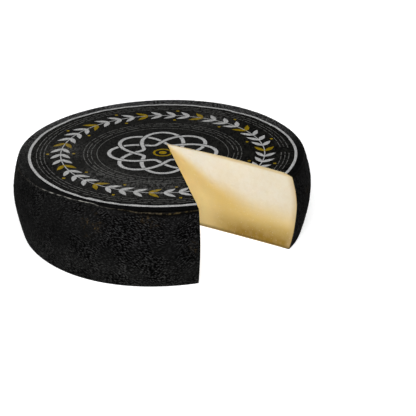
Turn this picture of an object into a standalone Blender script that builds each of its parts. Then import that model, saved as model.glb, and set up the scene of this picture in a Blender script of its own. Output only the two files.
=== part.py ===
"""A wheel of hard cheese in a black rind, with an eighth cut out, and the round paper label on its top.

Metres, +Z up. The origin is under the middle of the wheel's outline, on the surface that it stands on.
The missing eighth opens to the front (-Y) and right (+X).
"""

import math

import bmesh
import bpy

# The wheel
RADIUS = 0.175  # where its side is fullest
HEIGHT = 0.0925
FULLEST_HEIGHT = 0.0562  # of the fullest part of the side
TOP_DRAW_IN = 0.00715  # by how much the side has drawn in at the top
TOP_ROUNDNESS = 1.65  # power of that draw-in: a higher one is a flatter side with a tighter edge
FOOT_DRAW_IN = 0.0108
FOOT_ROUNDNESS = 1.8
LIP_ROUNDING = 0.0025
FOOT_ROUNDING = 0.003

# How the wheel is out of round. Bearings are anticlockwise from +X, in degrees.
CENTRE_X = -0.00027  # of the wheel's mean circle, so that its outline is centred over the origin
CENTRE_Y = -0.00055
OUTLINE_LOBES = (  # how many lobes, their share of the radius and the bearing of one of them
    (2, 0.0204, 70.4),
    (3, 0.0016, -19.6),
    (4, 0.0035, -17.4),
    (6, 0.0011, 1.4),
)
FOOT_LOBES = ((4, 0.0012, -18.0), (5, 0.0023, 34.6))  # only below the fullest height
LIP_LOBES = ((3, 0.0022, -59.4), (4, 0.0012, -26.5))  # only above the fullest height
LOBE_FADE = 1.5  # power with which those two fade out towards the fullest height
DENT_DEPTH = 0.0002

# The cut
CUT_APEX_X = 0.00563  # where the two cuts meet, a little behind the wheel's centre
CUT_APEX_Y = 0.02355
RIGHT_CUT_BEARING = -35.2
LEFT_CUT_BEARING = -79.9
RIGHT_CUT_BOW = 0.0044  # how far the knife strayed into the wheel, half way along the top
CUT_REACH = 0.26
CUT_MARGIN = 0.01  # how far the cutter runs past the top and the underside

# The label
LABEL_RADIUS = 0.1554
LABEL_CENTRE_X = 0.00073
LABEL_CENTRE_Y = -0.00295
LABEL_THICKNESS = 0.0004
LABEL_GAP = 0.0003  # between the label and the rind

# Fineness of the mesh
TURN_STEPS = 128
SIDE_POINTS = 12
ROUNDING_POINTS = 4
ROUNDING_PASSES = 8
BOW_POINTS = 10
MERGE_DISTANCE = 0.00005


def clear_scene():
    for obj in list(bpy.data.objects):
        bpy.data.objects.remove(obj)


def new_collection(name):
    collection = bpy.data.collections.new(name)
    bpy.context.scene.collection.children.link(collection)
    return collection


def new_object(name, mesh, collection):
    obj = bpy.data.objects.new(name, mesh)
    collection.objects.link(obj)
    return obj


def new_material(name, colour, roughness):
    material = bpy.data.materials.new(name)
    material.use_nodes = True
    shader = material.node_tree.nodes["Principled BSDF"]
    shader.inputs["Base Color"].default_value = (*colour, 1.0)
    shader.inputs["Roughness"].default_value = roughness
    shader.inputs["Metallic"].default_value = 0.0
    return material


def side_radius(height):
    """The side's radius at a height: fullest a little above half way, and drawn in at both ends."""
    if height > FULLEST_HEIGHT:
        share = (height - FULLEST_HEIGHT) / (HEIGHT - FULLEST_HEIGHT)
        return RADIUS - TOP_DRAW_IN * share**TOP_ROUNDNESS
    share = (FULLEST_HEIGHT - height) / FULLEST_HEIGHT
    return RADIUS - FOOT_DRAW_IN * share**FOOT_ROUNDNESS


def side_tilt(height):
    """By how much the side faces upwards at a height (radians): positive above its fullest part."""
    if height > FULLEST_HEIGHT:
        share = (height - FULLEST_HEIGHT) / (HEIGHT - FULLEST_HEIGHT)
        slope = TOP_DRAW_IN * TOP_ROUNDNESS * share ** (TOP_ROUNDNESS - 1.0)
        return math.atan(slope / (HEIGHT - FULLEST_HEIGHT))
    share = (FULLEST_HEIGHT - height) / FULLEST_HEIGHT
    slope = FOOT_DRAW_IN * FOOT_ROUNDNESS * share ** (FOOT_ROUNDNESS - 1.0)
    return -math.atan(slope / FULLEST_HEIGHT)


def rounded_end(end_height, size, way):
    """(radius, height) points of the rounding from the side to a level face. way is 1 at the top, -1 below."""
    height = end_height - way * size
    for _ in range(ROUNDING_PASSES):
        tilt = side_tilt(height)
        height = end_height - way * size + size * math.sin(tilt)
    centre_radius = side_radius(height) - size * math.cos(tilt)
    centre_height = end_height - way * size
    points = []
    for i in range(ROUNDING_POINTS + 1):
        angle = tilt + (way * math.pi / 2.0 - tilt) * i / ROUNDING_POINTS
        points.append((centre_radius + size * math.cos(angle), centre_height + size * math.sin(angle)))
    return points


def wheel_profile():
    """(radius, height) from the middle of the top, over the lip, down the side and in underneath."""
    lip = rounded_end(HEIGHT, LIP_ROUNDING, 1.0)
    foot = rounded_end(0.0, FOOT_ROUNDING, -1.0)
    highest = lip[0][1]
    lowest = foot[0][1]
    side = []
    for i in range(1, SIDE_POINTS):
        # Even steps of this angle put the points closer together at the lip and at the foot.
        angle = math.pi * i / SIDE_POINTS
        height = lowest + (highest - lowest) * (1.0 + math.cos(angle)) / 2.0
        side.append((side_radius(height), height))
    return [(0.0, HEIGHT), *reversed(lip), *side, *foot, (0.0, 0.0)]


def turned_mesh(name, profile, collection):
    """The closed mesh that a Screw modifier turns from a (radius, height) profile."""
    mesh = bpy.data.meshes.new(name)
    vertices = [(radius, 0.0, height) for radius, height in profile]
    edges = [(i, i + 1) for i in range(len(profile) - 1)]
    mesh.from_pydata(vertices, edges, [])
    turning = new_object(name, mesh, collection)
    screw = turning.modifiers.new("Screw", "SCREW")
    screw.steps = TURN_STEPS
    screw.render_steps = TURN_STEPS
    screw.use_merge_vertices = True
    screw.merge_threshold = MERGE_DISTANCE
    graph = bpy.context.evaluated_depsgraph_get()
    turned = bpy.data.meshes.new_from_object(turning.evaluated_get(graph))
    bpy.data.objects.remove(turning)
    return turned


def lobes(table, bearing):
    """Share of the radius that a table of lobes adds at a bearing (radians)."""
    return sum(share * math.cos(count * (bearing - math.radians(peak))) for count, share, peak in table)


def radial_share(bearing, height):
    """The wheel's radius at a bearing (radians) and a height, as a share of its mean radius."""
    low = min(max(1.0 - height / FULLEST_HEIGHT, 0.0), 1.0) ** LOBE_FADE
    high = min(max((height - FULLEST_HEIGHT) / (HEIGHT - FULLEST_HEIGHT), 0.0), 1.0) ** LOBE_FADE
    own = lobes(FOOT_LOBES, bearing) * low + lobes(LIP_LOBES, bearing) * high
    return 1.0 + lobes(OUTLINE_LOBES, bearing) + own


def dent(bearing, height):
    """Shallow dents and swellings of the side, in metres, that fade out at the foot and at the lip."""
    waves = (
        math.sin(7.0 * bearing + 60.0 * height)
        + math.sin(11.0 * bearing - 95.0 * height + 1.3)
        + math.sin(17.0 * bearing + 40.0 * height + 4.1)
    )
    fade = math.sin(math.pi * min(max(height / HEIGHT, 0.0), 1.0))
    return DENT_DEPTH * waves * fade


def make_uneven(mesh):
    """Moves a true wheel's vertices to where a hand-turned one, slightly out of round, has them."""
    for vertex in mesh.vertices:
        x, y, height = vertex.co
        radius = math.hypot(x, y)
        bearing = math.atan2(y, x)
        moved = radius * radial_share(bearing, height) + dent(bearing, height)
        vertex.co.x = CENTRE_X + moved * math.cos(bearing)
        vertex.co.y = CENTRE_Y + moved * math.sin(bearing)


def knife_path(bearing, bow):
    """(x, y) points from the cut's apex outwards. bow is how far they stray anticlockwise, at half way."""
    angle = math.radians(bearing)
    points = []
    for i in range(BOW_POINTS + 1):
        share = i / BOW_POINTS
        # Beyond the wheel's edge, at about this share of the cutter's reach, the path is straight again.
        stray = bow * max(0.0, math.sin(math.pi * min(share * CUT_REACH / RADIUS, 1.0)))
        along = share * CUT_REACH
        points.append((
            CUT_APEX_X + along * math.cos(angle) - stray * math.sin(angle),
            CUT_APEX_Y + along * math.sin(angle) + stray * math.cos(angle),
        ))
    return points


def make_cutter(paste, collection):
    """The missing eighth as a prism. Its right wall is straight at the foot and bowed at the top."""
    straight = knife_path(RIGHT_CUT_BEARING, 0.0)
    bowed = knife_path(RIGHT_CUT_BEARING, RIGHT_CUT_BOW)
    left_end = knife_path(LEFT_CUT_BEARING, 0.0)[-1]
    bm = bmesh.new()
    foot = [bm.verts.new((x, y, -CUT_MARGIN)) for x, y in [left_end, *reversed(straight)]]
    top = [bm.verts.new((x, y, HEIGHT + CUT_MARGIN)) for x, y in [left_end, *reversed(bowed)]]
    bm.faces.new(foot)
    bm.faces.new(reversed(top))
    for i in range(len(foot)):
        after = (i + 1) % len(foot)
        bm.faces.new((foot[after], foot[i], top[i], top[after]))
    bmesh.ops.recalc_face_normals(bm, faces=bm.faces)
    mesh = bpy.data.meshes.new("missing_eighth")
    bm.to_mesh(mesh)
    bm.free()
    mesh.materials.append(paste)
    cutter = new_object("missing_eighth", mesh, collection)
    cutter.hide_render = True
    cutter.display_type = "WIRE"
    return cutter


def cut_out(obj, cutter, with_paste):
    """Takes the missing eighth out of an object. The wheel's cut faces take the cutter's material."""
    cut = obj.modifiers.new("Missing eighth", "BOOLEAN")
    cut.operation = "DIFFERENCE"
    cut.object = cutter
    cut.material_mode = "TRANSFER" if with_paste else "INDEX"


def make_wheel(rind, cutter, collection):
    mesh = turned_mesh("cheese_wheel", wheel_profile(), collection)
    make_uneven(mesh)
    mesh.materials.append(rind)
    mesh.shade_smooth()
    mesh.set_sharp_from_angle(angle=math.radians(40.0))
    wheel = new_object("cheese_wheel", mesh, collection)
    cut_out(wheel, cutter, with_paste=True)
    return wheel


def make_label(paper, cutter, collection):
    bpy.ops.mesh.primitive_cylinder_add(
        vertices=TURN_STEPS,
        radius=LABEL_RADIUS,
        depth=LABEL_THICKNESS,
        location=(LABEL_CENTRE_X, LABEL_CENTRE_Y, HEIGHT + LABEL_GAP + LABEL_THICKNESS / 2.0),
    )
    label = bpy.context.active_object
    label.name = "paper_label"
    label.data.name = "paper_label"
    label.data.materials.append(paper)
    for other in list(label.users_collection):
        other.objects.unlink(label)
    collection.objects.link(label)
    cut_out(label, cutter, with_paste=False)
    return label


def main():
    clear_scene()
    pieces = new_collection("hard_cheese_wheel")
    cutters = new_collection("cutters")
    rind = new_material("black_rind", (0.010, 0.010, 0.010), 0.55)
    paste = new_material("cheese_paste", (0.80, 0.69, 0.48), 0.45)
    paper = new_material("label_paper", (0.020, 0.020, 0.019), 0.50)
    cutter = make_cutter(paste, cutters)
    make_wheel(rind, cutter, pieces)
    make_label(paper, cutter, pieces)


main()
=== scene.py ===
"""Looks for the cut wheel of hard cheese: its black rind, its pale paste and its printed label.

Everything is in metres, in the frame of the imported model. The wheel's shape is worked out from the same
named sizes as the solids have, on finer grids, and the relief of rind, cut and paper is added to it.
"""

import math

import bmesh
import bpy
import numpy as np
from mathutils import Matrix, Vector
from mathutils.geometry import delaunay_2d_cdt


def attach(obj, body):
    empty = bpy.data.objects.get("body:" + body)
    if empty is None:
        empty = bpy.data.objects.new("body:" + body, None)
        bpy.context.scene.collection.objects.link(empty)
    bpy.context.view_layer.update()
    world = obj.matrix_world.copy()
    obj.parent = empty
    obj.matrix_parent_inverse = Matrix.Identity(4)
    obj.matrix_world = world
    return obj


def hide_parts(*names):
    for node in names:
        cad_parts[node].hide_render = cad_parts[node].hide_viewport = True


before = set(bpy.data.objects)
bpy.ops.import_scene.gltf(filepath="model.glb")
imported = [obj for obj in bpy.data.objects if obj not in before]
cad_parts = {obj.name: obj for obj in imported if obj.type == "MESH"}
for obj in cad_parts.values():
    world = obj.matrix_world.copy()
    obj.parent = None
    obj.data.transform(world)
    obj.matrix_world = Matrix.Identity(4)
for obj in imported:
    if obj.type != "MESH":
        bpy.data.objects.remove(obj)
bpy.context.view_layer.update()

# The wheel, with the sizes that its solid has
RADIUS = 0.175
HEIGHT = 0.0925
FULLEST_HEIGHT = 0.0562
TOP_DRAW_IN = 0.00715
TOP_ROUNDNESS = 1.65
FOOT_DRAW_IN = 0.0108
FOOT_ROUNDNESS = 1.8
LIP_ROUNDING = 0.0025
FOOT_ROUNDING = 0.003
CENTRE_X = -0.00027
CENTRE_Y = -0.00055
OUTLINE_LOBES = (
    (2, 0.0204, 70.4),
    (3, 0.0016, -19.6),
    (4, 0.0035, -17.4),
    (6, 0.0011, 1.4),
)
FOOT_LOBES = ((4, 0.0012, -18.0), (5, 0.0023, 34.6))
LIP_LOBES = ((3, 0.0022, -59.4), (4, 0.0012, -26.5))
LOBE_FADE = 1.5
DENT_DEPTH = 0.0002
DENT_WAVES = ((7.0, 60.0, 0.0), (11.0, -95.0, 1.3), (17.0, 40.0, 4.1))
CUT_APEX_X = 0.00563
CUT_APEX_Y = 0.02355
RIGHT_CUT_BEARING = math.radians(-35.2)
LEFT_CUT_BEARING = math.radians(-79.9 + 360.0)
RIGHT_CUT_BOW = 0.0044
CUT_BOW_SPREAD = math.radians(25.0)
CUT_MARGIN = 0.01
GAP_BEARING = math.radians(-57.5)

# The rind's skin
RIND_THICKNESS = 0.0008
TOP_THICKNESS = 0.00025  # under the label
THINNING = (0.0925, 0.101)  # how far up the skin it thins
RIND_RELIEF = 0.00030
RIND_LUMPS = ((0.40, 0.0125, 0.0062, 11), (0.36, 0.0062, 0.0034, 12))  # share, length, width and seed
SMOOTHED = 0.85  # how much of its relief the skin loses where it is smoothest
# Runs up the skin over which the back of the lip is painted grey: a painted sheen
LIP_SHEEN_RUNS = (0.0885, 0.0925)
LIP_DROP = 0.0014  # beside the right cut, above a height and out past the label
LIP_DROP_FROM = 0.070
LIP_DROP_SPREAD = math.radians(22.0)
CREASE_HEIGHT = 0.0004
CREASE_WIDTH = 0.0007
CREASE_PATH = (  # metres anticlockwise from the gap and up the skin, strength, and how tan it is
    (0.000, 0.0900, 0.10, 1.0),
    (0.720, 0.0880, 0.10, 1.0),
    (0.745, 0.0870, 0.35, 1.0),
    (0.772, 0.0887, 0.40, 1.0),
    (0.794, 0.0899, 0.15, 0.7),
    (0.837, 0.0923, 0.40, 0.2),
    (0.858, 0.0955, 0.90, 0.0),
    (0.875, 0.0978, 1.00, 0.0),
    (0.888, 0.0978, 1.00, 0.0),
    (0.899, 0.0997, 1.00, 0.0),
    (0.917, 0.1003, 1.00, 0.0),
    (0.925, 0.0971, 0.80, 0.1),
    (0.940, 0.0953, 0.45, 0.6),
    (0.957, 0.0950, 0.80, 1.0),
    (0.973, 0.0916, 0.80, 0.9),
    (0.989, 0.0909, 0.80, 0.9),
    (1.005, 0.0901, 0.80, 1.0),
    (1.021, 0.0902, 0.60, 1.0),
    (1.038, 0.0913, 0.50, 1.0),
)
CALM_PATH = (  # where the smooth band below the label begins, in the same two measures, and its strength
    (0.000, 0.0890, 1.0),
    (0.180, 0.0890, 0.9),
    (0.290, 0.0890, 0.1),
    (0.640, 0.0890, 0.1),
    (0.720, 0.0890, 0.6),
    (0.794, 0.0925, 0.8),
    (0.860, 0.0950, 1.0),
    (0.917, 0.0975, 1.0),
    (0.940, 0.0935, 1.0),
    (0.973, 0.0885, 1.0),
    (0.997, 0.0865, 1.0),
    (1.040, 0.0880, 1.0),
)
STAINS = (  # brown marks: the same two measures of the middle of each, and its size
    (0.922, 0.0740, 0.0130),
    (1.034, 0.0500, 0.0060),
    (0.985, 0.0850, 0.0100),
    (0.130, 0.0600, 0.0110),
    (0.345, 0.0420, 0.0140),
    (0.560, 0.0700, 0.0120),
    (0.700, 0.0300, 0.0100),
)

# The paste's painted shade: golden deep down below a limit that sinks away from the middle, where the
# wheel's left part shades the right cut and the cuts light each other warm
SHADE_SLOPE = 0.54
SHADE_LIMIT = 0.054
CUT_WAVES = 0.00022  # heights of the cuts' relief
KNIFE_DRAG = 0.00005
CUT_GRAIN = 0.00003
PIT_COUNT = 16
PIT_DEPTH = 0.0005

# The label
LABEL_RADIUS = 0.1554
LABEL_CENTRE_X = 0.00073
LABEL_CENTRE_Y = -0.00295
LABEL_THICKNESS = 0.0004
LABEL_GAP = 0.0003
PAPER_THINNEST = 0.00015
PAPER_CLEARANCE = 0.0001  # between the paper and the rind, where the solids keep their wider gap
LOOSE_BEARING = math.radians(-118.0)  # where the label's edge has come loose and curls
LOOSE_SPREAD = math.radians(34.0)  # how far it does so each way
PAPER_FOLDS = (  # middle x and y, heading in degrees and half length of each fold in the paper
    (-0.115, -0.020, 84.0, 0.052),
    (-0.080, -0.075, 70.0, 0.034),
    (-0.050, 0.085, -18.0, 0.045),
    (0.090, 0.060, 35.0, 0.040),
    (0.020, -0.105, 12.0, 0.030),
)
SHEEN_SPOTS = (  # middle x and y, and size of each patch of painted sheen on the print
    (-0.030, -0.098, 0.026),
    (-0.072, -0.068, 0.026),
    (0.005, -0.106, 0.020),
    (-0.110, 0.010, 0.024),
    (0.060, 0.100, 0.022),
)

# Fineness of the grids, and the noise's table
RIND_COLUMNS = 680
HIDDEN_COLUMNS = 60
SIDE_STEP = 0.0013
LIP_STEP = 0.0006
LIP_ZONE = 0.083
ROUNDING_STEPS = 6
BAND_RADIUS = 0.150
BAND_STEPS = 22
CUT_COLUMNS = 140
OUTLINE_PASSES = 6
MERGE_DISTANCE = 0.000002
TOP_SHARES = (0.98, 0.95, 0.88, 0.75, 0.5, 0.25, 0.0)  # of the way from the gap's apex, across the top
FOOT_SHARES = (0.0, 0.25, 0.5, 0.7, 0.85, 0.95)  # and across the underside
RIND_SHARP = 50.0  # degrees from which an edge is sharp
PASTE_SHARP = 40.0
LABEL_SHARP = 50.0
NOISE_VALUES = 4096
NOISE_STEP_U = 73856093
NOISE_STEP_V = 19349663


# Small numerical tools

def smooth_step(value, low, high):
    """0 below low, 1 above high, and smooth between them."""
    share = np.clip((value - low) / (high - low), 0.0, 1.0)
    return share * share * (3.0 - 2.0 * share)


def lattice_noise(u, v, seed):
    """Smooth noise from about -1 to 1, with one random value at each whole (u, v)."""
    table = np.random.default_rng(seed).uniform(-1.0, 1.0, NOISE_VALUES)
    whole_u = np.floor(u).astype(np.int64)
    whole_v = np.floor(v).astype(np.int64)

    def corner(step_u, step_v):
        mixed = (whole_u + step_u) * NOISE_STEP_U ^ (whole_v + step_v) * NOISE_STEP_V
        return table[mixed & (NOISE_VALUES - 1)]

    share_u = smooth_step(u - whole_u, 0.0, 1.0)
    share_v = smooth_step(v - whole_v, 0.0, 1.0)
    low = corner(0, 0) * (1.0 - share_u) + corner(1, 0) * share_u
    high = corner(0, 1) * (1.0 - share_u) + corner(1, 1) * share_u
    return low * (1.0 - share_v) + high * share_v


def ridges(u, v, seed):
    """Noise folded into sharp-topped ridges, from -1 to 1."""
    return 1.0 - 2.0 * np.abs(lattice_noise(u, v, seed))


# The wheel's shape

def from_label(x, y):
    """Distance from the label's centre."""
    return np.hypot(x - LABEL_CENTRE_X, y - LABEL_CENTRE_Y)


def lip_drop(direction, x, y, height):
    """By how much the lip sinks beside the right cut, out past the label."""
    beside = 1.0 - smooth_step(direction - RIGHT_CUT_BEARING, 0.0, LIP_DROP_SPREAD)
    outside = smooth_step(from_label(x, y), LABEL_RADIUS - 0.001, LABEL_RADIUS + 0.010)
    return LIP_DROP * beside * outside * smooth_step(height, LIP_DROP_FROM, HEIGHT)


def side_shares(height):
    """How far a height lies from the fullest one, up towards the lip and down towards the foot."""
    above = np.clip((height - FULLEST_HEIGHT) / (HEIGHT - FULLEST_HEIGHT), 0.0, 1.0)
    below = np.clip((FULLEST_HEIGHT - height) / FULLEST_HEIGHT, 0.0, 1.0)
    return above, below


def side_radius(height):
    above, below = side_shares(height)
    return RADIUS - TOP_DRAW_IN * above**TOP_ROUNDNESS - FOOT_DRAW_IN * below**FOOT_ROUNDNESS


def side_tilt(height):
    """By how much the side faces upwards at a height (radians)."""
    above, below = side_shares(height)
    top_slope = TOP_DRAW_IN * TOP_ROUNDNESS * above ** (TOP_ROUNDNESS - 1.0) / (HEIGHT - FULLEST_HEIGHT)
    foot_slope = FOOT_DRAW_IN * FOOT_ROUNDNESS * below ** (FOOT_ROUNDNESS - 1.0) / FULLEST_HEIGHT
    return np.arctan(top_slope) - np.arctan(foot_slope)


def rounded_end(end_height, size, way):
    """Radii and heights of the rounding from the side to a level face. way is 1 at the top, -1 below."""
    height = end_height - way * size
    for _ in range(OUTLINE_PASSES + 2):
        tilt = float(side_tilt(height))
        height = end_height - way * size + size * math.sin(tilt)
    angle = np.linspace(tilt, way * math.pi / 2.0, ROUNDING_STEPS + 1)
    centre_radius = float(side_radius(height)) - size * math.cos(tilt)
    return centre_radius + size * np.cos(angle), end_height - way * size + size * np.sin(angle)


LIP_RADII, LIP_HEIGHTS = rounded_end(HEIGHT, LIP_ROUNDING, 1.0)
FOOT_RADII, FOOT_HEIGHTS = rounded_end(0.0, FOOT_ROUNDING, -1.0)


def lobes(table, bearing):
    return sum(share * np.cos(count * (bearing - math.radians(peak))) for count, share, peak in table)


def radial_share(bearing, height):
    """The wheel's radius at a bearing and height, as a share of a round wheel's radius there."""
    low = np.clip(1.0 - height / FULLEST_HEIGHT, 0.0, 1.0) ** LOBE_FADE
    high = np.clip((height - FULLEST_HEIGHT) / (HEIGHT - FULLEST_HEIGHT), 0.0, 1.0) ** LOBE_FADE
    own = lobes(FOOT_LOBES, bearing) * low + lobes(LIP_LOBES, bearing) * high
    return 1.0 + lobes(OUTLINE_LOBES, bearing) + own


def dent(bearing, height):
    """Shallow waves of the side."""
    waves = sum(np.sin(turns * bearing + climb * height + start) for turns, climb, start in DENT_WAVES)
    return DENT_DEPTH * waves * np.sin(np.pi * np.clip(height / HEIGHT, 0.0, 1.0))


def knife_stray(direction, reach, height):
    """How far the bowed right cut pushes a point anticlockwise. It fades out away from the cut."""
    bow = RIGHT_CUT_BOW * np.sin(np.pi * np.clip(reach / RADIUS, 0.0, 1.0))
    rise = (height + CUT_MARGIN) / (HEIGHT + 2.0 * CUT_MARGIN)
    fade = 1.0 - smooth_step(direction - RIGHT_CUT_BEARING, 0.0, CUT_BOW_SPREAD)
    return bow * rise * fade


def place(direction, radius, height, share=1.0):
    """(x, y, z) of points seen from the cut's apex in a direction, on the ring of that radius and height.

    A share under 1 is that much of the way from the apex to the ring.
    """
    from_centre_x = CUT_APEX_X - CENTRE_X
    from_centre_y = CUT_APEX_Y - CENTRE_Y
    way_x = np.cos(direction)
    way_y = np.sin(direction)
    along = from_centre_x * way_x + from_centre_y * way_y
    apex_squared = from_centre_x**2 + from_centre_y**2
    ring = radius + 0.0 * direction
    for _ in range(OUTLINE_PASSES):
        reach = np.sqrt(along**2 - apex_squared + ring**2) - along
        bearing = np.arctan2(from_centre_y + reach * way_y, from_centre_x + reach * way_x)
        ring = radius * radial_share(bearing, height) + dent(bearing, height)
    reach = reach * share
    stray = knife_stray(direction, reach, height)
    x = CUT_APEX_X + reach * way_x - stray * math.sin(RIGHT_CUT_BEARING)
    y = CUT_APEX_Y + reach * way_y + stray * math.cos(RIGHT_CUT_BEARING)
    z = height - lip_drop(direction, x, y, height)
    return np.stack(np.broadcast_arrays(x, y, z), axis=-1)


def ring_place(x, y, z):
    """(bearing, radius) of points, with the radius that a round wheel would have there."""
    bearing = np.arctan2(y - CENTRE_Y, x - CENTRE_X)
    return bearing, np.hypot(x - CENTRE_X, y - CENTRE_Y) / radial_share(bearing, z)


def skin_run(radius, height):
    """How far up the skin a place of the section lies, on over the lip and across the top."""
    over_lip = np.where(height > FULLEST_HEIGHT, np.clip(LIP_RADII[0] - radius, 0.0, None), 0.0)
    under_foot = np.where(height < FULLEST_HEIGHT, np.clip(FOOT_RADII[0] - radius, 0.0, None), 0.0)
    return height + over_lip - under_foot


def skin_place(points):
    """(around, run) of points of the skin: metres anticlockwise from the gap, and up the skin."""
    x, y, z = np.moveaxis(points, -1, 0)
    bearing, radius = ring_place(x, y, z)
    return np.mod(bearing - GAP_BEARING, 2.0 * np.pi) * RADIUS, skin_run(radius, z)


def skin_profile():
    """The skin's section, from the foot to the level top: radii, heights and the way out in both."""
    low = FOOT_HEIGHTS[0]
    high = LIP_HEIGHTS[0]
    heights = np.concatenate([
        np.arange(low, LIP_ZONE, SIDE_STEP)[1:],
        np.arange(LIP_ZONE, high - LIP_STEP / 2.0, LIP_STEP),
    ])
    band = np.linspace(LIP_RADII[-1], BAND_RADIUS, BAND_STEPS + 1)[1:]
    radii = np.concatenate([FOOT_RADII[::-1], side_radius(heights), LIP_RADII, band])
    heights = np.concatenate([FOOT_HEIGHTS[::-1], heights, LIP_HEIGHTS, np.full(BAND_STEPS, HEIGHT)])
    way_radius = np.gradient(radii)
    way_height = np.gradient(heights)
    length = np.hypot(way_radius, way_height)
    return radii, heights, way_height / length, -way_radius / length


def skin_thickness(radius, height):
    """The rind is thinner where the label has kept it moist."""
    thinned = smooth_step(skin_run(radius, height), *THINNING)
    return RIND_THICKNESS + (TOP_THICKNESS - RIND_THICKNESS) * thinned


def crease_share(around, run):
    """Strength of the fold that runs round the rind by its lip, from 0 to 1, and how tan it is."""
    places, runs, strengths, tans = zip(*CREASE_PATH)
    middle = np.interp(around, places, runs) + 0.0003 * lattice_noise(around / 0.012, 0.0 * around, 21)
    strength = np.interp(around, places, strengths)
    uneven = np.clip(0.85 + 0.40 * lattice_noise(around / 0.009, 0.0 * around, 22), 0.0, 1.0)
    line = np.exp(-(((run - middle) / CREASE_WIDTH) ** 2))
    return strength * uneven * line, np.interp(around, places, tans)


def calm_share(around, run):
    """How smooth the skin is, from 0 to 1: it is smoothest in the band below the label."""
    places, runs, strengths = zip(*CALM_PATH)
    begin = np.interp(around, places, runs)
    return np.interp(around, places, strengths) * smooth_step(run - begin, -0.0015, 0.0015)


def lip_sheen_share(around, run):
    """How far the back of the lip gets its painted sheen, from 0 to 1: only where it isn't smooth."""
    places, _, strengths = zip(*CALM_PATH)
    return (1.0 - np.interp(around, places, strengths)) * smooth_step(run, *LIP_SHEEN_RUNS)


def stain_share(around, run):
    """Strength of the rind's brown marks, from 0 to 1."""
    total = 0.0 * around
    for place_around, place_run, size in STAINS:
        total = total + np.exp(-((around - place_around) ** 2 + (run - place_run) ** 2) / size**2)
    return np.clip(total, 0.0, 1.0)


def rind_relief(around, run):
    """Lumpy leathery relief, from about -1 to 1."""
    slant = math.radians(24.0) + 0.35 * lattice_noise(around / 0.09, run / 0.05, 3)
    u = around * np.cos(slant) + run * np.sin(slant)
    v = run * np.cos(slant) - around * np.sin(slant)
    lumps = sum(share * ridges(u / length, v / width, seed) for share, length, width, seed in RIND_LUMPS)
    fine = lattice_noise(around / 0.0028, run / 0.0026, 13)
    patch = 0.65 + 0.35 * lattice_noise(around / 0.045, run / 0.03, 14)
    return (lumps + 0.34 * fine) * patch


# Meshes from grids

def grid_faces(first, rows, columns, turned=False):
    """Quads between the vertices of a rows by columns grid, whose first vertex has that number."""
    row = np.arange(rows - 1)[:, None] * columns
    column = np.arange(columns - 1)[None, :]
    corner = (first + row + column).ravel()
    quads = np.stack([corner, corner + 1, corner + columns + 1, corner + columns], axis=1)
    return quads[:, ::-1] if turned else quads


def joined_mesh(name, grids):
    """One closed mesh from (points, turned) grids whose edges meet."""
    points = []
    quads = []
    count = 0
    for grid, turned in grids:
        rows, columns = grid.shape[:2]
        points.append(grid.reshape(-1, 3))
        quads.append(grid_faces(count, rows, columns, turned))
        count += rows * columns
    points = np.concatenate(points)
    quads = np.concatenate(quads)
    mesh = bpy.data.meshes.new(name)
    mesh.from_pydata(points.tolist(), [], quads.tolist())
    bm = bmesh.new()
    bm.from_mesh(mesh)
    bmesh.ops.remove_doubles(bm, verts=bm.verts, dist=MERGE_DISTANCE)
    bmesh.ops.dissolve_degenerate(bm, edges=bm.edges, dist=MERGE_DISTANCE)
    bm.to_mesh(mesh)
    bm.free()
    return mesh


def mesh_points(mesh):
    points = np.empty(len(mesh.vertices) * 3, np.float32)
    mesh.vertices.foreach_get("co", points)
    return points.reshape(-1, 3).astype(float)


def add_shares(mesh, shares):
    """Stores (name, values) pairs, with one value for each point."""
    for name, values in shares:
        attribute = mesh.attributes.new(name, "FLOAT", "POINT")
        attribute.data.foreach_set("value", values.astype(np.float32))


def smooth_faces(mesh, sharp):
    mesh.polygons.foreach_set("use_smooth", np.ones(len(mesh.polygons), bool))
    mesh.set_sharp_from_angle(angle=math.radians(sharp))


def add_piece(name, mesh, materials, node):
    piece = bpy.data.objects.new(name, mesh)
    bpy.context.scene.collection.objects.link(piece)
    for material in materials:
        mesh.materials.append(material)
    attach(piece, "root")
    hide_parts(node)


# The rind

def label_cover(x, y):
    """1 under the label, 0 out past its edge."""
    return 1.0 - smooth_step(from_label(x, y), LABEL_RADIUS - 0.001, LABEL_RADIUS + 0.0025)


def rind_surface(directions, relief):
    """Grids of the skin's outer face, or of its inner face without relief, one row for each direction."""
    radii, heights, out_radius, out_height = skin_profile()
    way = directions[:, None]
    radius = radii[None, :] + 0.0 * way
    height = heights[None, :] + 0.0 * way
    inset = 0.0
    if relief:
        around, run = skin_place(place(way, radius, height))
        lump = rind_relief(around, run) * RIND_RELIEF * (1.0 - SMOOTHED * calm_share(around, run))
        lump = lump + CREASE_HEIGHT * crease_share(around, run)[0]
        bare = place(way, radius, height)
        lump = lump * (1.0 - label_cover(bare[..., 0], bare[..., 1])) * smooth_step(run, 0.0, 0.004)
        radius = radius + lump * out_radius
        height = height + lump * out_height
    else:
        inset = RIND_THICKNESS
        thickness = skin_thickness(radius, height)
        radius = radius - thickness * out_radius
        height = np.clip(height - thickness * out_height, RIND_THICKNESS, None)
    top = place(way, radius[:, -1:], height[:, -1:], np.array(TOP_SHARES)[None, :])
    foot = place(way, radius[:, :1], height[:, :1] * 0.0 + inset, np.array(FOOT_SHARES)[None, :])
    return np.concatenate([foot, place(way, radius, height), top], axis=1)


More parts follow.
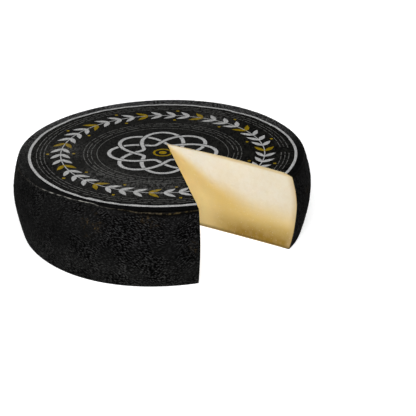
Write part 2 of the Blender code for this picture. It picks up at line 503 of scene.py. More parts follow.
def add_skin_attributes(mesh):
    """Stores each point's place on the skin, in metres, and how much of each mark the skin has there."""
    points = mesh_points(mesh)
    around, run = skin_place(points)
    places = np.stack([around, run, 0.0 * run], axis=1)
    mesh.attributes.new("skin_place", "FLOAT_VECTOR", "POINT")
    mesh.attributes["skin_place"].data.foreach_set("vector", places.astype(np.float32).ravel())
    distance = from_label(points[:, 0], points[:, 1])
    crease, tan = crease_share(around, run)
    add_shares(mesh, (
        ("crease_share", crease),
        ("tan_share", tan),
        ("stain_share", stain_share(around, run)),
        ("calm_share", calm_share(around, run)),
        ("lip_sheen_share", lip_sheen_share(around, run)),
        ("covered_share", 1.0 - smooth_step(distance, LABEL_RADIUS - 0.007, LABEL_RADIUS - 0.004)),
    ))


def make_rind(material):
    directions = np.linspace(RIGHT_CUT_BEARING, LEFT_CUT_BEARING, RIND_COLUMNS)
    hidden = np.linspace(RIGHT_CUT_BEARING, LEFT_CUT_BEARING, HIDDEN_COLUMNS)
    outer = rind_surface(directions, True)
    inner = rind_surface(hidden, False)
    right_rim = np.stack([outer[0], inner[0]])
    left_rim = np.stack([outer[-1], inner[-1]])
    mesh = joined_mesh("rind", [(outer, False), (inner, True), (right_rim, False), (left_rim, True)])
    smooth_faces(mesh, RIND_SHARP)
    add_skin_attributes(mesh)
    add_piece("rind", mesh, [material], "cheese_wheel")


# The paste

def paste_rows():
    """Outer radius and height of each row of the paste, from its underside up to the level top."""
    radii, heights, out_radius, out_height = skin_profile()
    thickness = skin_thickness(radii, heights)
    return radii - thickness * out_radius, np.clip(heights - thickness * out_height, RIND_THICKNESS, None)


def cut_relief(reach, height, edge, seed):
    """Relief of a cut face along its normal: slow waves, the knife's drag lines and a few small pits."""
    waves = CUT_WAVES * lattice_noise(reach / 0.035, height / 0.03, seed)
    drag = KNIFE_DRAG * lattice_noise(reach / 0.06 + height * 3.0, height / 0.0016, seed + 1)
    grain = CUT_GRAIN * lattice_noise(reach / 0.0022, height / 0.0022, seed + 2)
    relief = waves + drag + grain
    rng = np.random.default_rng(seed)
    for _ in range(PIT_COUNT):
        pit_reach = rng.uniform(0.02, 0.155)
        pit_height = rng.uniform(0.01, 0.087)
        size = rng.uniform(0.0006, 0.0013)
        away = ((reach - pit_reach) / (size * 1.5)) ** 2 + ((height - pit_height) / size) ** 2
        relief = relief - PIT_DEPTH * np.exp(-away)
    return relief * edge


def make_paste(material):
    radii, heights = paste_rows()
    shares = np.linspace(0.0, 1.0, CUT_COLUMNS)
    hidden = np.linspace(RIGHT_CUT_BEARING, LEFT_CUT_BEARING, HIDDEN_COLUMNS)
    rows = len(radii)

    def cut_face(direction, seed, side):
        """The grid of a cut face, whose relief fades out at its edges."""
        way = np.full((rows, CUT_COLUMNS), direction)
        face = place(way, radii[:, None] + 0.0 * way, heights[:, None] + 0.0 * way, shares[None, :])
        reach = np.hypot(face[..., 0] - CUT_APEX_X, face[..., 1] - CUT_APEX_Y)
        from_ends = np.minimum(heights - heights[0], heights[-1] - heights)[:, None]
        room = np.minimum(np.minimum(reach[:, -1:] - reach, from_ends), reach)
        edge = smooth_step(room, 0.0, 0.0015)
        lump = cut_relief(reach, face[..., 2], edge, seed) * side
        face[..., 0] -= lump * math.sin(direction)
        face[..., 1] += lump * math.cos(direction)
        return face

    right = cut_face(RIGHT_CUT_BEARING, 31, -1.0)
    left = cut_face(LEFT_CUT_BEARING, 41, 1.0)
    way = hidden[:, None]
    outside = place(way, radii[None, :] + 0.0 * way, heights[None, :] + 0.0 * way)
    top = place(way, radii[-1] + 0.0 * way, heights[-1] + 0.0 * way, shares[None, :])
    under = place(way, radii[0] + 0.0 * way, heights[0] + 0.0 * way, shares[None, :])
    grids = [(right, True), (left, False), (outside, True), (top, False), (under, True)]
    mesh = joined_mesh("paste", grids)
    smooth_faces(mesh, PASTE_SHARP)
    add_paste_attributes(mesh)
    add_piece("paste", mesh, [material], "cheese_wheel")


def add_paste_attributes(mesh):
    """Stores how far each point lies from the side's rind, and the shares of the paste's painted shade,
    painted light and tones there.
    """
    x, y, z = mesh_points(mesh).T
    _, radius = ring_place(x, y, z)
    reach = np.hypot(x - CUT_APEX_X, y - CUT_APEX_Y)
    wander = 0.003 * lattice_noise(reach / 0.03, z / 0.025, 61)
    falling = SHADE_SLOPE * reach
    shade_depth = falling / (1.0 + (falling / SHADE_LIMIT) ** 4) ** 0.25 + wander
    spread = 0.005 + 0.11 * reach
    below = HEIGHT - z - shade_depth
    inner = 1.0 - smooth_step(reach, 0.044, 0.086)
    foot = 1.0 - smooth_step(z + wander, 0.004, 0.034)
    add_shares(mesh, (
        ("side_distance", side_radius(z) - radius),
        ("shade_gold_share", smooth_step(below / spread, -1.0, 1.0)),
        ("bounce_lit_share", smooth_step(below, 0.010, 0.034) * inner),
        ("far_share", smooth_step(reach, 0.030, 0.085)),
        ("foot_shade_share", foot * smooth_step(reach, 0.050, 0.105)),
    ))


# Shader building

class Shader:
    """A Principled material and short ways to add nodes to it."""

    def __init__(self, name):
        self.material = bpy.data.materials.new(name)
        self.material.use_nodes = True
        self.tree = self.material.node_tree
        self.surface = self.tree.nodes["Principled BSDF"]
        self.place = self.tree.nodes.new("ShaderNodeTexCoord").outputs["Object"]

    def set(self, **values):
        """Sets plain values on the shader's own sockets. An underscore in a name stands for a space."""
        for name, value in values.items():
            self.surface.inputs[name.replace("_", " ")].default_value = value

    def link(self, output, name):
        self.tree.links.new(output, self.surface.inputs[name])

    def feed(self, socket, value):
        if isinstance(value, bpy.types.NodeSocket):
            self.tree.links.new(value, socket)
        else:
            socket.default_value = value

    def add(self, kind, **values):
        """A new node with plain values or sockets on its inputs. An underscore stands for a space."""
        node = self.tree.nodes.new("ShaderNode" + kind)
        for name, value in values.items():
            self.feed(node.inputs[name.replace("_", " ")], value)
        return node

    def stretched(self, *scale):
        return self.add("Mapping", Scale=scale, Vector=self.place).outputs["Vector"]

    def noise(self, scale, detail=3.0, roughness=0.5, distortion=0.0, vector=None):
        values = {"Scale": scale, "Detail": detail, "Roughness": roughness, "Distortion": distortion}
        return self.add("TexNoise", Vector=vector or self.place, **values).outputs["Fac"]

    def cells(self, scale, vector=None, flat=False):
        """Distance to the nearest of many scattered middles."""
        node = self.add("TexVoronoi", Scale=scale, Vector=vector or self.place)
        node.voronoi_dimensions = "2D" if flat else "3D"
        return node.outputs["Distance"]

    def part_of(self, vector, axis):
        return self.add("SeparateXYZ", Vector=vector).outputs[axis]

    def attribute(self, name, output="Fac"):
        node = self.add("Attribute")
        node.attribute_name = name
        return node.outputs[output]

    def drawn_out(self, vector, heading, length, width):
        """A flat place, in metres, measured in lengths along a heading and in widths across it."""
        turn = (0.0, 0.0, math.radians(heading))
        node = self.add("Mapping", Rotation=turn, Scale=(length, width, 1.0), Vector=vector)
        node.vector_type = "TEXTURE"
        return node.outputs["Vector"]

    def strokes(self, vector, heading, length, width):
        """Noise drawn out into strokes along a heading of a flat place, in metres."""
        return self.noise(1.0, 1.0, 0.5, 0.2, self.drawn_out(vector, heading, length, width))

    def pebbles(self, vector, heading, length, width):
        """Close-set drawn-out bumps, 1 at their middles and 0 in the pits between them."""
        place = self.drawn_out(vector, heading, length, width)
        return self.curve(self.cells(1.0, place, True), 0.10, 0.72, 1.0, 0.0)

    def curve(self, value, low, high, to_low=0.0, to_high=1.0):
        """A smooth step of the value, from to_low at low to to_high at high."""
        node = self.add("MapRange", Value=value, From_Min=low, From_Max=high, To_Min=to_low, To_Max=to_high)
        node.interpolation_type = "SMOOTHSTEP"
        return node.outputs["Result"]

    def mix(self, share, first, second):
        """A mix of two colours."""
        node = self.add("Mix")
        node.data_type = "RGBA"
        self.feed(node.inputs["Factor"], share)
        self.feed(node.inputs[6], first)
        self.feed(node.inputs[7], second)
        return node.outputs[2]

    def mix_value(self, share, first, second):
        node = self.add("Mix")
        node.data_type = "FLOAT"
        self.feed(node.inputs[0], share)
        self.feed(node.inputs[2], first)
        self.feed(node.inputs[3], second)
        return node.outputs[0]

    def calculate(self, operation, first, second):
        node = self.add("Math")
        node.operation = operation
        self.feed(node.inputs[0], first)
        self.feed(node.inputs[1], second)
        return node.outputs["Value"]

    def times(self, first, second):
        return self.calculate("MULTIPLY", first, second)

    def bump(self, height, distance, normal=None):
        node = self.add("Bump", Strength=1.0, Distance=distance, Height=height)
        if normal is not None:
            self.feed(node.inputs["Normal"], normal)
        return node.outputs["Normal"]


def rgb(red, green, blue):
    """A colour given as 0 to 255 on the screen, as the linear value that shaders take."""
    linear = []
    for value in (red, green, blue):
        share = value / 255.0
        linear.append(share / 12.92 if share <= 0.04045 else ((share + 0.055) / 1.055) ** 2.4)
    return (*linear, 1.0)


RIND_PIT = rgb(1, 1, 1)
RIND_CREST = rgb(54, 54, 54)
RIND_CREST_FLOOR_SHEEN = rgb(73, 73, 72)
RIND_LIP_SHEEN = rgb(132, 132, 132)
RIND_STAIN = rgb(76, 62, 38)
RIND_CALM = rgb(2, 2, 2)
CREASE_PALE = rgb(190, 188, 180)
CREASE_TAN = rgb(90, 78, 50)
UNDER_LABEL = rgb(214, 190, 140)
CREAM = (rgb(238, 234, 222), rgb(243, 234, 214))  # near the gap's apex, and farther out
SHADE_GOLD = (rgb(234, 210, 146), rgb(236, 206, 130))
BOUNCE_LIT_GOLD = rgb(255, 231, 168)
FOOT_SHADE_GOLD = rgb(158, 122, 36)
CLOUD = rgb(214, 188, 136)
MOTTLE = rgb(222, 200, 150)
BY_RIND = rgb(206, 180, 128)
AT_RIND = rgb(150, 114, 62)
TOP_LINE = rgb(216, 190, 134)
FOOT_LINE_SHADE = rgb(122, 98, 48)
CRYSTAL = rgb(253, 248, 234)
PAINTED_SHEEN = rgb(112, 112, 110)
STROKE_SIZE = (0.0036, 0.0012)
PEBBLE_SIZE = (0.0030, 0.0017)
GRAIN_FALLING = -20.0  # degrees
GRAIN_RISING = 26.0


def rind_material():
    """Black skin with a slanting grain that is soft in places, partly painted glints and shade, a fold by
    its lip, a few brown marks and a painted sheen on the back of the lip.
    """
    shader = Shader("black_rind")
    skin = shader.attribute("skin_place", "Vector")
    side = shader.curve(shader.noise(9.0, 1.0), 0.44, 0.56)
    falling = shader.strokes(skin, GRAIN_FALLING, *STROKE_SIZE)
    rising = shader.strokes(skin, GRAIN_RISING, *STROKE_SIZE)
    strokes = shader.times(shader.mix_value(side, falling, rising), 0.72)
    falling = shader.pebbles(skin, GRAIN_FALLING, *PEBBLE_SIZE)
    rising = shader.pebbles(skin, GRAIN_RISING, *PEBBLE_SIZE)
    pebbles = shader.times(shader.mix_value(side, falling, rising), 0.17)
    patches = shader.times(shader.noise(62.0, 3.0, 0.5), 0.18)
    grain = shader.calculate("ADD", shader.calculate("ADD", strokes, pebbles), patches)
    crests = shader.calculate("POWER", shader.curve(grain, 0.45, 0.74), 1.4)
    soft = shader.curve(shader.noise(34.0, 3.0, 0.55), 0.44, 0.62, 0.0, 0.56)
    crests = shader.mix_value(soft, crests, 0.21)
    # Lighter crests low on the side: painted reflection of the floor
    low = shader.curve(shader.part_of(skin, "Y"), 0.020, 0.048, 1.0, 0.0)
    light = shader.mix(low, RIND_CREST, RIND_CREST_FLOOR_SHEEN)
    # Painted sheen on the back of the lip
    light = shader.mix(shader.attribute("lip_sheen_share"), light, RIND_LIP_SHEEN)
    # The grain's light crests and near-black pits: partly the skin's own tone, partly painted glints on the
    # crests and painted shade in the pits
    colour = shader.mix(crests, RIND_PIT, light)
    specks = shader.curve(shader.noise(330.0, 3.0, 0.7), 0.50, 0.64, 0.0, 0.75)
    ragged = shader.curve(shader.noise(70.0, 3.0, 0.6), 0.42, 0.60)
    stains = shader.times(shader.attribute("stain_share"), shader.times(specks, ragged))
    colour = shader.mix(stains, colour, RIND_STAIN)
    calm = shader.attribute("calm_share")
    colour = shader.mix(shader.times(calm, 0.96), colour, RIND_CALM)
    broken = shader.curve(shader.noise(240.0, 2.0), 0.40, 0.58, 0.05, 1.0)
    tone = shader.mix(shader.attribute("tan_share"), CREASE_PALE, CREASE_TAN)
    colour = shader.mix(shader.times(shader.attribute("crease_share"), broken), colour, tone)
    colour = shader.mix(shader.attribute("covered_share"), colour, UNDER_LABEL)
    shader.link(colour, "Base Color")
    shader.link(shader.curve(shader.noise(120.0, 3.0), 0.3, 0.7, 0.46, 0.62), "Roughness")
    rough = shader.curve(calm, 0.0, 1.0, 1.0, 0.12)
    normal = shader.bump(shader.times(crests, rough), 0.0006)
    shader.link(shader.bump(shader.noise(1600.0, 2.0), 0.00010, normal), "Normal")
    shader.set(Specular_IOR_Level=0.025)
    return shader.material


def paste_material():
    """Pale paste with painted shade, golden low down and near the gap's apex, and painted light in the
    shade; darker by the rind, with small crystals.
    """
    shader = Shader("cheese_paste")
    height = shader.part_of(shader.place, "Z")
    far = shader.attribute("far_share")
    # Painted shade: gold below the shaded limit, a little different farther out
    colour = shader.mix(shader.attribute("shade_gold_share"), shader.mix(far, *CREAM), shader.mix(far, *SHADE_GOLD))
    # Painted light: a lighter gold deep in the shaded zone near the apex, where the other cut lights it
    colour = shader.mix(shader.attribute("bounce_lit_share"), colour, BOUNCE_LIT_GOLD)
    # Darker golden brown low down and farther out: partly a darker tone by the foot, partly painted shade
    # low in the gap
    colour = shader.mix(shader.attribute("foot_shade_share"), colour, FOOT_SHADE_GOLD)
    clouds = shader.curve(shader.noise(26.0, 4.0, 0.55), 0.3, 0.7)
    colour = shader.mix(shader.curve(clouds, 0.0, 1.0, 0.0, 0.10), colour, CLOUD)
    mottle = shader.curve(shader.noise(150.0, 3.0, 0.6), 0.40, 0.68, 0.0, 0.14)
    colour = shader.mix(mottle, colour, MOTTLE)
    depth = shader.attribute("side_distance")
    colour = shader.mix(shader.curve(depth, 0.001, 0.011, 0.70, 0.0), colour, BY_RIND)
    colour = shader.mix(shader.curve(depth, 0.0006, 0.0022, 0.85, 0.0), colour, AT_RIND)
    top_line = shader.times(shader.curve(height, HEIGHT - 0.0040, HEIGHT - 0.0010), far)
    colour = shader.mix(shader.times(top_line, 0.8), colour, TOP_LINE)
    # Darker towards the bottom edge: partly a dark line by the rind, partly painted contact shade
    colour = shader.mix(shader.curve(height, 0.0008, 0.0050, 0.80, 0.0), colour, FOOT_LINE_SHADE)
    crystals = shader.curve(shader.cells(300.0), 0.05, 0.17, 0.45, 0.0)
    colour = shader.mix(crystals, colour, CRYSTAL)
    shader.link(colour, "Base Color")
    shader.link(shader.curve(shader.noise(90.0, 3.0), 0.3, 0.7, 0.46, 0.60), "Roughness")
    drag = shader.noise(1.0, 3.0, 0.6, vector=shader.stretched(40.0, 40.0, 900.0))
    normal = shader.bump(drag, 0.00008)
    shader.link(shader.bump(shader.noise(700.0, 4.0, 0.6), 0.00010, normal), "Normal")
    shader.set(
        Subsurface_Weight=0.4,
        Subsurface_Radius=(1.0, 0.80, 0.50),
        Subsurface_Scale=0.0025,
        Specular_IOR_Level=0.25,
    )
    return shader.material


# The label's print. Its figures are in millimetres, from the label's centre.

INK_BLACK, INK_SILVER, INK_GOLD, INK_GREY, PAPER_EDGE = range(5)
MM = 0.001
RING_INNER = 152.3
RING_OUTER = LABEL_RADIUS / MM
RING_NARROWING = 1.2
KNOT_LOBES = 8
KNOT_TURNS = 3
KNOT_RADIUS = 43.0
KNOT_SWING = 19.0
KNOT_WIDTH = 4.4
KNOT_GAP = 1.2
GARLAND_RADIUS = 117.9
GARLAND_STEM = 1.2
GARLAND_STEPS = 44
LEAF_LENGTH = 18.0
LEAF_WIDTH = 6.0
LEAF_LEAN = math.radians(40.0)
BERRY_RADII = (133.0, 103.0)
BERRY_SIZE = 1.9
CIRCLE_EDGES = (76.5, 75.5)
DASH_RADII = (137.0, 141.4, 145.8, 82.6, 87.0, 91.4)
DASH_WIDTH = 1.1
MIDDLE_RINGS = ((11.5, 48), (8.8, 48), (4.6, 32))  # radius and number of points
MESH_SPACING = 2.1
ROW_SHARE = 0.866  # height of a row of even triangles


def polar(radius, turn):
    return np.stack([radius * np.cos(turn), radius * np.sin(turn)], axis=1)


def circle_points(radius, count, centre=(0.0, 0.0)):
    return np.array(centre) + polar(radius, np.linspace(0.0, 2.0 * np.pi, count, endpoint=False))


def ring_inner_points():
    """The printed ring's inner edge. The ring is narrower where the label's edge has come loose."""
    turn = np.linspace(-np.pi, np.pi, 360, endpoint=False)
    radius = RING_INNER + RING_NARROWING * smooth_step(np.abs(turn - LOOSE_BEARING), LOOSE_SPREAD, 0.0)
    return polar(radius, turn)


def leaf_points(root, heading, length, width):
    """An almond leaf from its root point, along a heading."""
    share = np.linspace(0.0, 1.0, 9)
    half = width / 2.0 * np.sin(np.pi * share**0.85)
    along = np.concatenate([share * length, share[-2:0:-1] * length])
    across = np.concatenate([half, -half[-2:0:-1]])
    x = root[0] + along * math.cos(heading) - across * math.sin(heading)
    y = root[1] + along * math.sin(heading) + across * math.cos(heading)
    return np.stack([x, y], axis=1)


def dash_points(radius, start, end, width):
    """A short stroke along a circle, with square ends."""
    turn = np.linspace(start, end, max(3, int((end - start) * radius / 3.0)))
    return np.concatenate([polar(radius + width / 2.0, turn), polar(radius - width / 2.0, turn[::-1])])


def print_figures():
    """(outline, ink) of each filled figure, the lowest first."""
    figures = [
        (circle_points(RING_OUTER, 360), INK_SILVER),
        (ring_inner_points(), INK_BLACK),
        (circle_points(GARLAND_RADIUS + GARLAND_STEM / 2.0, 300), INK_SILVER),
        (circle_points(GARLAND_RADIUS - GARLAND_STEM / 2.0, 300), INK_BLACK),
        (circle_points(CIRCLE_EDGES[0], 240), INK_GREY),
        (circle_points(CIRCLE_EDGES[1], 240), INK_BLACK),
    ]
    rng = np.random.default_rng(5)
    for radius in DASH_RADII:
        turn = rng.uniform(0.0, 0.1)
        while turn < 2.0 * math.pi - 0.05:
            length = rng.uniform(9.0, 19.0) / radius
            end = min(turn + length, 2.0 * math.pi - 0.02)
            figures.append((dash_points(radius, turn, end, DASH_WIDTH), INK_GREY))
            turn = end + rng.uniform(2.0, 3.5) / radius
    for i in range(GARLAND_STEPS):
        turn = 2.0 * math.pi * i / GARLAND_STEPS
        root = (GARLAND_RADIUS * math.cos(turn), GARLAND_RADIUS * math.sin(turn))
        ink = INK_GOLD if i % 4 == 0 else INK_SILVER
        for side in (1.0, -1.0):
            heading = turn + math.pi / 2.0 - side * LEAF_LEAN
            figures.append((leaf_points(root, heading, LEAF_LENGTH, LEAF_WIDTH), ink))
        if i % 4 == 2:
            for radius in BERRY_RADII:
                berry = (radius * math.cos(turn), radius * math.sin(turn))
                figures.append((circle_points(BERRY_SIZE, 14, berry), INK_GOLD))
    for (radius, count), ink in zip(MIDDLE_RINGS, (INK_GOLD, INK_BLACK, INK_GOLD)):
        figures.append((circle_points(radius, count), ink))
    return figures


def knot_strand(turn, strand):
    """Radius and rise of one strand of the woven knot, where it passes at that turn."""
    swing = KNOT_LOBES * (turn + 2.0 * np.pi * strand) / KNOT_TURNS
    return KNOT_RADIUS + KNOT_SWING * np.cos(swing), np.sin(swing)


def knot_outlines():
    """Closed lines that run along the edges of the knot's strand and of the gap beside it."""
    turn = np.linspace(0.0, 2.0 * np.pi * KNOT_TURNS, 720, endpoint=False)
    radius, _ = knot_strand(turn, 0)
    points = polar(radius, turn)
    way = np.roll(points, -1, axis=0) - np.roll(points, 1, axis=0)
    side = np.stack([-way[:, 1], way[:, 0]], axis=1) / np.linalg.norm(way, axis=1)[:, None]
    half = KNOT_WIDTH / 2.0
    return [points + side * offset for offset in (-half - KNOT_GAP, -half, half, half + KNOT_GAP)]


def knot_ink(x, y, ink):
    """Inks the knot's strands, each of which breaks where it passes under another."""
    radius = np.hypot(x, y)
    turn = np.arctan2(y, x)
    highest = np.full(len(x), -2.0)
    result = ink.copy()
    for strand in range(KNOT_TURNS):
        line, rise = knot_strand(turn, strand)
        swing = KNOT_LOBES * (turn + 2.0 * np.pi * strand) / KNOT_TURNS
        slope = -KNOT_SWING * KNOT_LOBES / KNOT_TURNS * np.sin(swing) / line
        distance = np.abs(radius - line) / np.sqrt(1.0 + slope**2)
        near = (distance < KNOT_WIDTH / 2.0 + KNOT_GAP) & (rise > highest)
        highest = np.where(near, rise, highest)
        inked = np.where(distance < KNOT_WIDTH / 2.0, INK_SILVER, INK_BLACK)
        result = np.where(near, inked, result)
    return result


def inside(points, outline):
    """Which of the points lie inside a closed outline."""
    low = outline.min(axis=0)
    high = outline.max(axis=0)
    candidates = np.where(((points >= low) & (points <= high)).all(axis=1))[0]
    x, y = points[candidates].T
    result = np.zeros(len(candidates), bool)
    before = np.roll(outline, 1, axis=0)
    for (x0, y0), (x1, y1) in zip(before, outline):
        crosses = (y0 > y) != (y1 > y)
        if y1 != y0:
            result ^= crosses & (x < (x1 - x0) * (y - y0) / (y1 - y0) + x0)
    return candidates[result]


def label_edges():
    """The two cut edges of the label as lists of points, from the apex outwards."""
    reach = np.linspace(0.0, 0.2, 81)
    edges = []
    for direction in (RIGHT_CUT_BEARING, LEFT_CUT_BEARING):
        stray = knife_stray(direction, reach, HEIGHT)
        x = CUT_APEX_X + reach * math.cos(direction) - stray * math.sin(RIGHT_CUT_BEARING)
        y = CUT_APEX_Y + reach * math.sin(direction) + stray * math.cos(RIGHT_CUT_BEARING)
        edges.append(np.stack([(x - LABEL_CENTRE_X) / MM, (y - LABEL_CENTRE_Y) / MM], axis=1))
    return edges


def is_cut_side(point):
    """Whether a point of the label's rim lies on a cut and not on the round edge."""
    return math.hypot(point[0], point[1]) < LABEL_RADIUS - 0.0003


def label_relief(x, y):
    """Height of the paper above its level plane: slow waves, folds, and a cockled, curled edge."""
    from_x = x - LABEL_CENTRE_X
    from_y = y - LABEL_CENTRE_Y
    bearing = np.arctan2(from_y, from_x)
    radius = np.hypot(from_x, from_y)
    slow = 0.00014 * lattice_noise(x / 0.045 + 9.0, y / 0.045 + 9.0, 51)
    radial = lattice_noise(bearing * 9.0 + 20.0, radius / 0.05, 52)
    radial = radial * lattice_noise(bearing * 31.0, radius / 0.08, 53)
    cockle = lattice_noise(bearing * 16.0 + 40.0, 0.0 * bearing, 54) * smooth_step(radius, 0.138, 0.1554)
    folds = 0.0 * x
    for fold_x, fold_y, heading, length in PAPER_FOLDS:
        turn = math.radians(heading)
        along = (x - fold_x) * math.cos(turn) + (y - fold_y) * math.sin(turn)
        across = (y - fold_y) * math.cos(turn) - (x - fold_x) * math.sin(turn)
        folds = folds + np.exp(-((across / 0.0016) ** 2)) * smooth_step(length - np.abs(along), 0.0, 0.01)
    loose = smooth_step(np.abs(bearing - LOOSE_BEARING), LOOSE_SPREAD, 0.0)
    loose = loose * smooth_step(radius, 0.146, 0.1554)
    curl = np.clip(0.3 + lattice_noise(bearing * 24.0 + 60.0, 0.0 * bearing, 55), 0.0, None) * loose
    edge = 0.00040 * radial * smooth_step(radius, 0.09, 0.15) + 0.00035 * cockle + 0.00090 * curl
    return slow + edge + 0.00028 * folds


def label_triangles():
    """The flat label in metres, cut along its print: points, triangles and each triangle's ink."""
    figures = print_figures()
    right_edge, left_edge = label_edges()
    lines = [(outline, True) for outline, _ in figures] + [(outline, True) for outline in knot_outlines()]
    lines += [(right_edge, False), (left_edge, False)]
    points = []
    edges = []
    for line, closed in lines:
        first = len(points)
        points.extend(line.tolist())
        edges.extend((first + i, first + i + 1) for i in range(len(line) - 1))
        if closed:
            edges.append((first + len(line) - 1, first))
    count = int(RING_OUTER / MESH_SPACING)
    for i in range(-count, count + 1):
        for j in range(-count, count + 1):
            x = (i + 0.5 * (j % 2)) * MESH_SPACING
            y = j * MESH_SPACING * ROW_SHARE
            if math.hypot(x, y) < RING_OUTER - 1.0:
                points.append((x, y))
    vertices, _, faces, *_ = delaunay_2d_cdt([Vector(p) for p in points], edges, [], 0, 0.002, False)
    flat = np.array([tuple(v) for v in vertices])
    faces = np.array([tuple(face) for face in faces])
    middle = flat[faces].mean(axis=1)
    keep = np.hypot(middle[:, 0], middle[:, 1]) < RING_OUTER - 0.005
    keep[inside(middle, np.concatenate([right_edge, left_edge[::-1]]))] = False
    faces = faces[keep]
    middle = middle[keep]
    ink = np.zeros(len(faces), int)
    for outline, colour in figures:
        ink[inside(middle, outline)] = colour
    ink = knot_ink(middle[:, 0], middle[:, 1], ink)
    used, faces = np.unique(faces, return_inverse=True)
    return flat[used] * MM, faces.reshape(-1, 3), ink


def make_label(materials):
    flat, faces, ink = label_triangles()
    x = flat[:, 0] + LABEL_CENTRE_X
    y = flat[:, 1] + LABEL_CENTRE_Y
    z = HEIGHT + LABEL_GAP + LABEL_THICKNESS + label_relief(x, y)
    z = np.maximum(z, HEIGHT + PAPER_CLEARANCE + PAPER_THINNEST)
    top = np.stack([x, y, z], axis=1)
    under = top.copy()
    under[:, 2] = HEIGHT + PAPER_CLEARANCE
    a, b, c = flat[faces].transpose(1, 0, 2)
    clockwise = ((b - a)[:, 0] * (c - a)[:, 1] - (b - a)[:, 1] * (c - a)[:, 0]) < 0.0
    faces[clockwise] = faces[clockwise][:, ::-1]
    sides = np.concatenate([faces[:, [0, 1]], faces[:, [1, 2]], faces[:, [2, 0]]])
    ways = {tuple(side) for side in sides.tolist()}
    rim = sorted((p, q) for p, q in ways if (q, p) not in ways)
    count = len(top)
    all_faces = faces.tolist() + (faces[:, ::-1] + count).tolist()
    all_faces += [(q, p, p + count, q + count) for p, q in rim]
    mesh = bpy.data.meshes.new("paper_label_print")
    mesh.from_pydata(np.concatenate([top, under]).tolist(), [], all_faces)
    on_cut = [is_cut_side(flat[p]) or is_cut_side(flat[q]) for p, q in rim]
    inks = np.concatenate([ink, np.zeros(len(faces), int), np.where(on_cut, PAPER_EDGE, INK_SILVER)])
    mesh.polygons.foreach_set("material_index", inks.astype(np.int32))
    smooth_faces(mesh, LABEL_SHARP)
    # Patches of painted sheen on the print
    sheen_spot_share = sum(np.exp(-((x - at_x) ** 2 + (y - at_y) ** 2) / size**2) for at_x, at_y, size in SHEEN_SPOTS)
    add_shares(mesh, [("painted_sheen_share", np.tile(np.clip(sheen_spot_share, 0.0, 1.0), 2))])
    add_piece("printed_label", mesh, materials, "paper_label")


def ink_material(name, dark, light, roughness, specular):
    """Ink on the paper's grain, greyer with painted sheen in patches."""
    shader = Shader(name)
    grain = shader.noise(1.0, 2.0, 0.6, vector=shader.stretched(640.0, 270.0, 640.0))
    clouds = shader.noise(26.0, 3.0, 0.5)
    share = shader.calculate("ADD", shader.times(grain, 0.85), shader.times(clouds, 0.15))
    colour = shader.mix(shader.curve(share, 0.43, 0.59), dark, light)
    sheen_mask = shader.noise(1.0, 4.0, 0.75, vector=shader.stretched(300.0, 130.0, 300.0))
    sheen_mask = shader.times(shader.curve(sheen_mask, 0.40, 0.68), shader.attribute("painted_sheen_share"))
    colour = shader.mix(shader.times(sheen_mask, 0.45), colour, PAINTED_SHEEN)
    shader.link(colour, "Base Color")
    gloss = shader.curve(shader.noise(200.0, 2.0), 0.3, 0.7, roughness - 0.06, roughness + 0.06)
    shader.link(gloss, "Roughness")
    normal = shader.bump(grain, 0.00014)
    shader.link(shader.bump(shader.noise(70.0, 3.0, 0.5), 0.0003, normal), "Normal")
    shader.set(Specular_IOR_Level=specular)
    return shader.material


def label_materials():
    """One material for each ink, in the order of the inks' numbers."""
    return [
        ink_material("ink_black", rgb(0, 0, 0), rgb(29, 29, 26), 0.22, 0.05),
        ink_material("ink_silver", rgb(164, 164, 164), rgb(190, 190, 189), 0.34, 0.07),
        ink_material("ink_gold", rgb(122, 101, 4), rgb(150, 124, 7), 0.40, 0.05),
        ink_material("ink_grey", rgb(62, 62, 60), rgb(92, 92, 90), 0.40, 0.07),
        ink_material("paper_edge", rgb(214, 194, 150), rgb(232, 216, 180), 0.60, 0.05),
    ]


# Studio

CAMERA_PLACE = (-0.00007, -2.33339, 1.04778)
CAMERA_RIGHT = (0.9996768, -0.0248957, -0.0051485)
CAMERA_UP = (0.0147370, 0.4024648, 0.9153168)
CAMERA_LENS = 188.42
SENSOR_WIDTH = 36.0
FLOOR_HALF = 6.0
FLOOR_GLOW = 0.60
FLOOR_UNSEEN = (0.22, 0.22, 0.22, 1.0)  # what the wheel is lit by, and what the camera sees
FLOOR_SEEN = (0.90, 0.90, 0.90, 1.0)
LIGHT_DISTANCE = 2.6
LIGHTS = (  # degrees anticlockwise from +X and up from level, side in metres and power in watts
    ("key", -150.0, 36.0, 1.0, 15.0),
    ("front", -90.0, 42.0, 1.6, 73.0),
    ("rim", 184.0, 9.0, 0.8, 4.0),
    ("sheen", 91.8, 24.9, 0.4, 0.11),
    ("back_left", 108.0, 8.0, 0.6, 6.0),
    ("back_right", 62.0, 8.0, 0.6, 3.2),
)
SKY_STRENGTH = 0.045


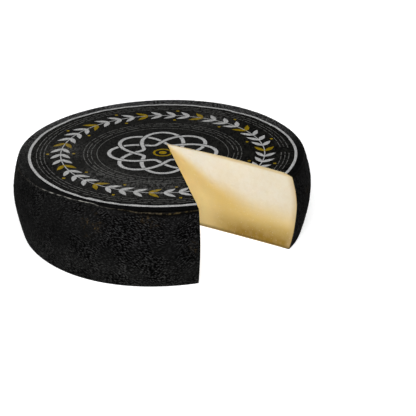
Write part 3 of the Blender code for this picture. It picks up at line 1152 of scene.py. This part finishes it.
def make_camera():
    """The photograph's camera: its place, the way it faces and its narrow view were fitted to the wheel."""
    right = Vector(CAMERA_RIGHT)
    up = Vector(CAMERA_UP)
    back = right.cross(up)
    data = bpy.data.cameras.new("camera")
    data.lens = CAMERA_LENS
    data.sensor_width = SENSOR_WIDTH
    data.clip_end = 50.0
    camera = bpy.data.objects.new("camera", data)
    turn = Matrix((right, up, back)).transposed()
    camera.matrix_world = Matrix.Translation(Vector(CAMERA_PLACE)) @ turn.to_4x4()
    bpy.context.scene.collection.objects.link(camera)
    bpy.context.scene.camera = camera


def make_floor():
    mesh = bpy.data.meshes.new("floor")
    corners = [(x * FLOOR_HALF, y * FLOOR_HALF, 0.0) for x, y in ((-1, -1), (1, -1), (1, 1), (-1, 1))]
    mesh.from_pydata(corners, [], [(0, 1, 2, 3)])
    floor = bpy.data.objects.new("floor", mesh)
    bpy.context.scene.collection.objects.link(floor)
    shader = Shader("pale_floor")
    seen = shader.add("LightPath").outputs["Is Camera Ray"]
    shader.link(shader.mix(seen, FLOOR_UNSEEN, FLOOR_SEEN), "Base Color")
    shader.link(shader.times(seen, FLOOR_GLOW), "Emission Strength")
    shader.set(Emission_Color=(1.0, 1.0, 1.0, 1.0), Roughness=0.9, Specular_IOR_Level=0.0)
    mesh.materials.append(shader.material)


def add_light(name, bearing, elevation, size, power):
    """A square soft light that faces the wheel."""
    data = bpy.data.lights.new(name, "AREA")
    data.size = size
    data.energy = power
    light = bpy.data.objects.new(name, data)
    turn = math.radians(bearing)
    rise = math.radians(elevation)
    way = Vector((math.cos(turn) * math.cos(rise), math.sin(turn) * math.cos(rise), math.sin(rise)))
    light.location = Vector((0.0, 0.0, 0.05)) + way * LIGHT_DISTANCE
    light.rotation_mode = "QUATERNION"
    light.rotation_quaternion = way.to_track_quat("Z", "Y")
    bpy.context.scene.collection.objects.link(light)


def make_world(strength):
    world = bpy.data.worlds.new("studio")
    world.use_nodes = True
    background = world.node_tree.nodes["Background"]
    background.inputs["Color"].default_value = (1.0, 1.0, 1.0, 1.0)
    background.inputs["Strength"].default_value = strength
    bpy.context.scene.world = world


def main():
    make_camera()
    make_rind(rind_material())
    make_paste(paste_material())
    make_label(label_materials())
    make_floor()
    for light in LIGHTS:
        add_light(*light)
    make_world(SKY_STRENGTH)
    bpy.context.scene.view_settings.view_transform = "Standard"


main()
